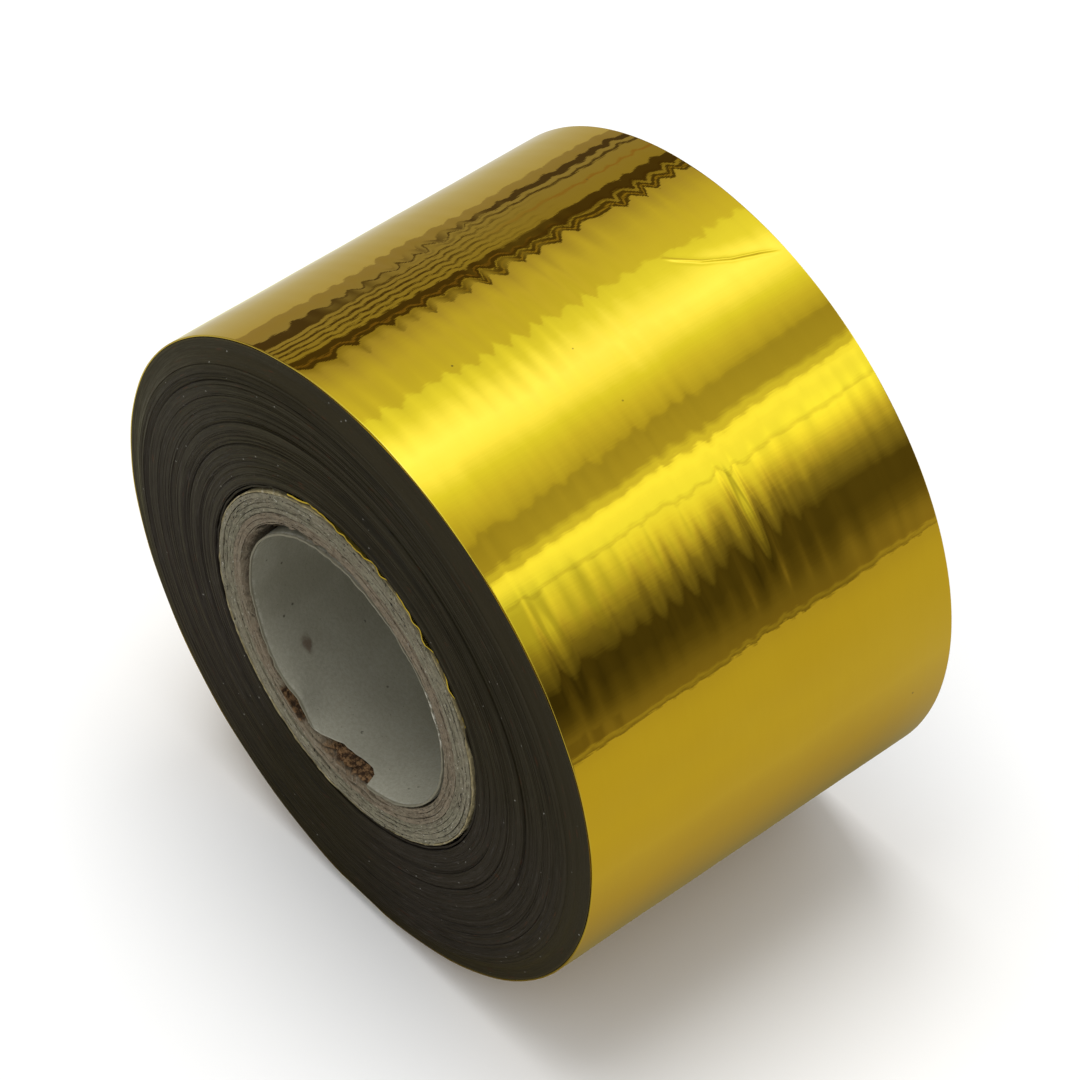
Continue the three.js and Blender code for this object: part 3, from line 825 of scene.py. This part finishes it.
# ---------------------------------------------------------------- studio: pale table, soft overhead light, a tent of soft panels
world = bpy.data.worlds.new("studio")
scene.world = world
world.use_nodes = True
w = Tree(world.node_tree)
w_out = w.node("ShaderNodeOutputWorld")
w_bg = w.node("ShaderNodeBackground")
w.t.links.new(w_bg.outputs[0], w_out.inputs["Surface"])
lp = w.node("ShaderNodeLightPath")
wtc = w.node("ShaderNodeTexCoord")
wsep = w.node("ShaderNodeSeparateXYZ")
w.t.links.new(wtc.outputs["Generated"], wsep.inputs[0])
up = wsep.outputs[2]
soft_sky = w.mix(w.remap(up, -0.1, 0.9), (0.42, 0.42, 0.42), (0.86, 0.86, 0.855))
far_room = w.mix(w.remap(up, -0.02, 0.02), (0.74, 0.735, 0.725), (0.55, 0.545, 0.54))
col = w.mix(lp.outputs["Is Glossy Ray"], soft_sky, far_room)
col = w.mix(lp.outputs["Is Camera Ray"], col, (0.90, 0.90, 0.895))
w.put(w_bg.inputs["Color"], col)
world.cycles.sampling_method = "NONE"

FLOOR_Z = -FLAT_Z * MM


def plane(name, x0, x1, y0, y1, nx, ny):
    xs, ys = np.linspace(x0, x1, nx), np.linspace(y0, y1, ny)
    X, Y = np.meshgrid(xs, ys)
    verts = np.stack([X.ravel(), Y.ravel(), np.full(X.size, FLOOR_Z)], 1) / MM
    i = np.arange((ny - 1) * nx).reshape(ny - 1, nx)[:, :-1].ravel()
    quads = np.stack([i, i + 1, i + nx + 1, i + nx], 1)
    return new_mesh(name, verts, quads, smooth=False)


def table_top(name, left):
    m, t, b = material(name)
    tc = t.node("ShaderNodeTexCoord")
    sep = t.node("ShaderNodeSeparateXYZ")
    t.t.links.new(tc.outputs["Object"], sep.inputs[0])
    g = t.noise(tc.outputs["Object"], 900.0, 2.0, 0.5)
    soft = t.noise(tc.outputs["Object"], 6.0, 1.0, 0.5)
    colr = t.mix(t.remap(soft, 0.3, 0.7), (0.845, 0.845, 0.84), (0.865, 0.865, 0.86))
    shade = t.remap(sep.outputs[0], -0.30, -0.03, left, 1.0)
    n = t.node("ShaderNodeMix", data_type="RGBA", blend_type="MULTIPLY")
    n.inputs["Factor"].default_value = 1.0
    t.put(n.inputs[6], colr)
    t.put(n.inputs[7], shade)
    t.put(b.inputs["Base Color"], n.outputs[2])
    b.inputs["Roughness"].default_value = 0.9
    b.inputs["Specular IOR Level"].default_value = 0.1
    bump(t, b, g, 0.05, 0.0002)
    # far from the roll the table runs up into the backdrop, so there's no horizon line
    dist = t.math("SQRT", t.math("ADD", t.math("MULTIPLY", sep.outputs[0], sep.outputs[0]), t.math("MULTIPLY", sep.outputs[1], sep.outputs[1])))
    far = t.node("ShaderNodeEmission")
    far.inputs["Color"].default_value = (0.90, 0.90, 0.895, 1.0)
    far.inputs["Strength"].default_value = 1.0
    blend = t.node("ShaderNodeMixShader")
    t.put(blend.inputs[0], t.remap(dist, 0.16, 0.85))
    t.t.links.new(b.outputs[0], blend.inputs[1])
    t.t.links.new(far.outputs[0], blend.inputs[2])
    t.t.links.new(blend.outputs[0], [n for n in m.node_tree.nodes if n.bl_idname == "ShaderNodeOutputMaterial"][0].inputs["Surface"])
    m.cycles.emission_sampling = "NONE"
    return m


floor = plane("table_top", -3, 3, -3, 3, 31, 31)
floor.data.materials.append(table_top("table_seen", 1.0))
floor.visible_glossy = False
floor.visible_shadow = False


def table_in_reflection(name):
    """The same table as the film sees it, a glowing copy with its light and shade painted in: brighter on the right,
    and a painted shadow with a warm cast close to the roll.
    """
    m = bpy.data.materials.new(name)
    m.use_nodes = True
    t = Tree(m.node_tree)
    out = t.node("ShaderNodeOutputMaterial")
    em = t.node("ShaderNodeEmission")
    t.t.links.new(em.outputs[0], out.inputs["Surface"])
    tc = t.node("ShaderNodeTexCoord")
    sep = t.node("ShaderNodeSeparateXYZ")
    t.t.links.new(tc.outputs["Object"], sep.inputs[0])
    x, y = sep.outputs[0], sep.outputs[1]
    # painted light: the glow is dimmer on the left and brightest just right of the roll
    far = t.mix(t.remap(x, -0.16, -0.07), (0.690, 0.655, 0.415), (0.720, 0.690, 0.560))
    far = t.mix(t.remap(x, -0.04, 0.05), far, (0.850, 0.830, 0.660))
    far = t.mix(t.remap(x, 0.12, 0.30), far, (0.765, 0.740, 0.720))
    # painted shadow of the roll, with a painted warm glow from its gold, darkest close to the roll
    near = t.ramp(t.math("MULTIPLY", t.math("ABSOLUTE", x), 10.0), [(0.0, (0.09, 0.07, 0.03)), (0.16, (0.18, 0.145, 0.052)), (0.235, (0.29, 0.235, 0.085)), (0.29, (0.43, 0.35, 0.120)), (0.375, (0.62, 0.535, 0.19)), (0.50, (0.81, 0.765, 0.38)), (0.70, (0.86, 0.84, 0.52)), (0.95, (0.85, 0.84, 0.68))])
    beside = t.remap(t.math("ABSOLUTE", t.math("SUBTRACT", y, CY * MM)), 0.022, 0.060, 1.0, 0.0)
    close = t.remap(t.math("ABSOLUTE", x), 0.070, 0.100, 1.0, 0.0)
    col = t.mix(t.math("MULTIPLY", beside, close), far, near)
    t.put(em.inputs["Color"], col)
    em.inputs["Strength"].default_value = 1.0
    m.cycles.emission_sampling = "NONE"
    return m


floor_mirror = plane("table_reflected", -2.0, 2.0, -2.0, 2.0, 31, 31)
floor_mirror.data.materials.append(table_in_reflection("table_in_reflection"))
floor_mirror.visible_camera = False
floor_mirror.visible_diffuse = False
floor_mirror.visible_shadow = False

lamp_data = bpy.data.lights.new("soft_box", "AREA")
lamp_data.shape = "RECTANGLE"
lamp_data.size, lamp_data.size_y = 0.42, 0.42
lamp_data.energy = 3.1
lamp = bpy.data.objects.new("soft_box", lamp_data)
scene.collection.objects.link(lamp)
lamp.location = (-0.07, 0.02, 0.66)
lamp.rotation_mode = "QUATERNION"
lamp.rotation_quaternion = (-Vector(lamp.location)).to_track_quat("-Z", "Y")
lamp.visible_glossy = False
lamp.visible_camera = False

# The tent: half a tube of soft panels round the roll, seen only in reflections. Its brightness runs in strips along the roll:
# each stop is an angle up the tent's wall from the right-hand side, in degrees, and a radiance.
TENT_R = 120.0
STRIPS = [
    (-0.6, (0.330, 0.295, 0.33)), (-0.2, (0.560, 0.540, 0.55)), (0.5, (0.560, 0.540, 0.55)), (0.9, (0.370, 0.330, 0.38)),
    (4.3, (0.330, 0.298, 0.36)), (11.0, (0.180, 0.162, 0.20)), (17.0, (0.112, 0.101, 0.13)), (24.0, (0.108, 0.098, 0.13)), (27.2, (0.225, 0.218, 0.30)),
    (31.7, (0.340, 0.336, 0.42)), (37.2, (0.760, 0.790, 0.80)), (42.7, (1.320, 1.540, 1.30)), (45.8, (1.480, 1.800, 1.60)), (46.3, (0.900, 0.980, 0.90)),
    (46.9, (1.520, 1.880, 1.70)), (53.6, (1.950, 2.350, 2.40)), (55.7, (1.700, 2.000, 1.80)), (56.3, (0.860, 0.900, 0.85)), (57.0, (1.300, 1.500, 1.30)),
    (59.4, (0.740, 0.765, 0.78)), (67.3, (0.640, 0.655, 0.69)), (68.5, (0.830, 0.870, 0.82)), (75.3, (1.190, 1.320, 1.13)), (81.0, (1.500, 1.820, 1.40)), (86.3, (2.050, 2.430, 3.60)),
    (92.0, (2.400, 2.700, 5.20)), (97.3, (2.000, 2.420, 3.60)), (103.0, (1.560, 1.900, 1.75)), (108.2, (1.380, 1.660, 1.45)), (109.2, (1.130, 1.260, 1.10)),
    (122.0, (0.980, 1.040, 1.02)), (131.0, (0.700, 0.690, 0.80)),
]
T_LO, T_HI = -9.0, 174.0


def tent_material():
    m = bpy.data.materials.new("tent_panels")
    m.use_nodes = True
    t = Tree(m.node_tree)
    out = t.node("ShaderNodeOutputMaterial")
    em = t.node("ShaderNodeEmission")
    t.t.links.new(em.outputs[0], out.inputs["Surface"])
    r, c, s, y, deg, v = t.polar()
    # the strips lean a little against the roll's axis
    lean_by = t.math("ADD", 0.045, t.math("MULTIPLY", t.remap(deg, 44.0, 56.0), 0.055))
    lean_by = t.math("SUBTRACT", lean_by, t.math("MULTIPLY", t.remap(deg, 62.0, 104.0), 0.140))
    off_mid = t.math("MAXIMUM", t.math("MINIMUM", t.math("SUBTRACT", y, 50.0), 70.0), -70.0)
    lean = t.math("SUBTRACT", deg, t.math("MULTIPLY", off_mid, lean_by))
    lean = t.math("ADD", lean, t.math("MULTIPLY", t.math("SUBTRACT", t.noise(t.xyz(t.math("MULTIPLY", y, 0.02), t.math("MULTIPLY", deg, 0.03), 0.0), 1.0, 2.0, 0.5), 0.5), 0.8))
    # the dark strip low on the right rises from the near end to the middle
    skew = t.math("MULTIPLY", t.remap(deg, 12.0, 24.0), t.remap(deg, 34.0, 44.0, 1.0, 0.0))
    before = t.math("MAXIMUM", t.math("MINIMUM", t.math("SUBTRACT", y, 55.0), 0.0), -34.0)
    lean = t.math("SUBTRACT", lean, t.math("MULTIPLY", t.math("MULTIPLY", before, 0.15), skew))
    pos = t.remap(lean, T_LO, T_HI, 0.0, 1.0, "LINEAR")
    span = T_HI - T_LO
    peak = 5.4
    col = t.ramp(pos, [((a - T_LO) / span, tuple(x / peak for x in cc)) for a, cc in STRIPS])
    # above 131 degrees: a plain mid wall
    wall = t.remap(lean, 131.0, 136.5)
    wall_col = t.mix(t.remap(lean, 158.0, 165.0), (0.455 / peak, 0.425 / peak, 0.36 / peak), (0.460 / peak, 0.405 / peak, 0.27 / peak))
    col = t.mix(wall, col, wall_col)

    def strip(lo, hi, soft, amount, colour, base, rag=0.0, y_from=None, y_to=None, y_soft=10.0, follow=lean):
        """A strip of another radiance across the tent, optionally only over some of its length."""
        f = follow
        if rag:
            f = t.math("ADD", f, t.math("MULTIPLY", t.math("SUBTRACT", t.noise(t.xyz(t.math("MULTIPLY", y, 0.09), t.math("MULTIPLY", deg, 0.05), 3.0), 1.0, 3.0, 0.6), 0.5), rag))
        k = t.math("MULTIPLY", t.remap(f, lo - soft, lo + soft), t.remap(f, hi - soft, hi + soft, 1.0, 0.0))
        if y_from is not None:
            k = t.math("MULTIPLY", k, t.remap(y, y_from - y_soft, y_from + y_soft))
        if y_to is not None:
            k = t.math("MULTIPLY", k, t.remap(y, y_to - y_soft, y_to + y_soft, 1.0, 0.0))
        k = t.math("MULTIPLY", k, amount)
        return t.mix(k, base, tuple(x / peak for x in colour))

    dark = (0.085, 0.060, 0.060)
    brown = (0.21, 0.150, 0.150)
    # window frame and shelves high on the left: lines that are whole at the near end and broken further on
    col = strip(136.2, 137.9, 0.16, 0.95, dark, col, rag=0.5, y_to=66.0, y_soft=12.0)
    col = strip(138.6, 141.4, 0.16, 0.95, dark, col, rag=0.5, y_to=60.0, y_soft=12.0)
    col = strip(137.9, 138.6, 0.16, 0.75, (0.20, 0.10, 0.07), col)
    col = strip(131.8, 135.6, 0.20, 0.92, dark, col, rag=1.6, y_from=46.0, y_soft=16.0)
    col = strip(137.2, 142.4, 0.18, 0.94, dark, col, rag=0.6, y_from=56.0, y_soft=8.0)
    col = strip(133.2, 134.0, 0.16, 0.70, (0.55, 0.46, 0.3), col, rag=0.9, y_from=50.0, y_soft=12.0)
    for a, half in ((143.6, 0.34), (146.2, 0.42), (149.0, 0.50), (151.6, 0.36)):
        col = strip(a - half, a + half, 0.14, 0.93, dark, col, y_to=55.0, y_soft=9.0, rag=0.25)
    col = strip(153.6, 159.8, 0.16, 0.94, dark, col, rag=0.8, y_to=40.0, y_soft=9.0)
    col = strip(153.9, 154.7, 0.14, 0.90, dark, col, rag=0.6, y_from=38.0, y_soft=8.0, y_to=58.0)
    col = strip(158.6, 159.5, 0.14, 0.90, dark, col, rag=0.6, y_from=38.0, y_soft=8.0, y_to=56.0)
    col = strip(156.2, 157.4, 0.14, 0.88, dark, col, rag=0.8, y_from=54.0, y_soft=10.0)
    col = strip(159.8, 163.4, 0.16, 0.93, dark, col, rag=0.8, y_from=54.0, y_soft=9.0)
    col = strip(149.2, 150.6, 0.30, 0.55, (0.42, 0.22, 0.10), col, rag=1.2, y_from=60.0, y_soft=8.0)

    # a dark wedge at the foot of the right side, close to the near end
    col = strip(0.9, 5.2, 0.7, 0.62, (0.19, 0.165, 0.19), col, y_from=22.0, y_to=29.0, y_soft=2.5)

    # the room past the tent's right side isn't even: patches of shade along it
    patch = t.noise(t.xyz(t.math("MULTIPLY", y, 0.030), t.math("MULTIPLY", deg, 0.030), 7.0), 1.0, 1.0, 0.5)
    low_side = t.remap(lean, 44.0, 52.0, 1.0, 0.0)
    amount = t.math("ADD", 0.05, t.math("MULTIPLY", low_side, 0.16))
    factor = t.math("ADD", 1.0, t.math("MULTIPLY", t.remap(patch, 0.30, 0.70, -1.0, 1.0), amount))
    dim_side = t.math("MULTIPLY", low_side, t.remap(deg, 2.0, 10.0))
    factor = t.math("ADD", factor, t.math("MULTIPLY", dim_side, t.remap(y, 57.0, 70.0, 0.0, 0.42)))
    factor = t.math("SUBTRACT", factor, t.math("MULTIPLY", dim_side, t.remap(y, 26.0, 40.0, 0.22, 0.0)))
    n = t.node("ShaderNodeMix", data_type="RGBA", blend_type="MULTIPLY")
    n.inputs["Factor"].default_value = 1.0
    t.put(n.inputs[6], col)
    t.put(n.inputs[7], t.math("MAXIMUM", factor, 0.25))
    t.put(em.inputs["Color"], n.outputs[2])
    em.inputs["Strength"].default_value = peak
    m.cycles.emission_sampling = "NONE"
    return m


def tent_wall():
    ys = np.linspace(-500.0, 700.0, 25)
    k = 97
    rows = []
    for yv in ys:
        lo = -1.2 + 0.045 * (yv - 50.0) * (1.0 if abs(yv - 50) < 150 else 150 / abs(yv - 50))
        hi = 169.3 - 0.01 * (yv - 50.0) * (1.0 if abs(yv - 50) < 100 else 100 / abs(yv - 50))
        a = np.radians(np.linspace(lo, hi, k))
        rows.append(np.stack([TENT_R * np.cos(a), np.full(k, yv), TENT_R * np.sin(a)], 1))
    verts = np.concatenate(rows)
    i = np.arange((len(ys) - 1) * k).reshape(len(ys) - 1, k)[:, :-1].ravel()
    quads = np.stack([i, i + 1, i + k + 1, i + k], 1)
    return new_mesh("tent", verts, quads, smooth=False)


tent = tent_wall()
tent.data.materials.append(tent_material())
tent.visible_camera = False
tent.visible_diffuse = False
tent.visible_shadow = False
tent.visible_transmission = False
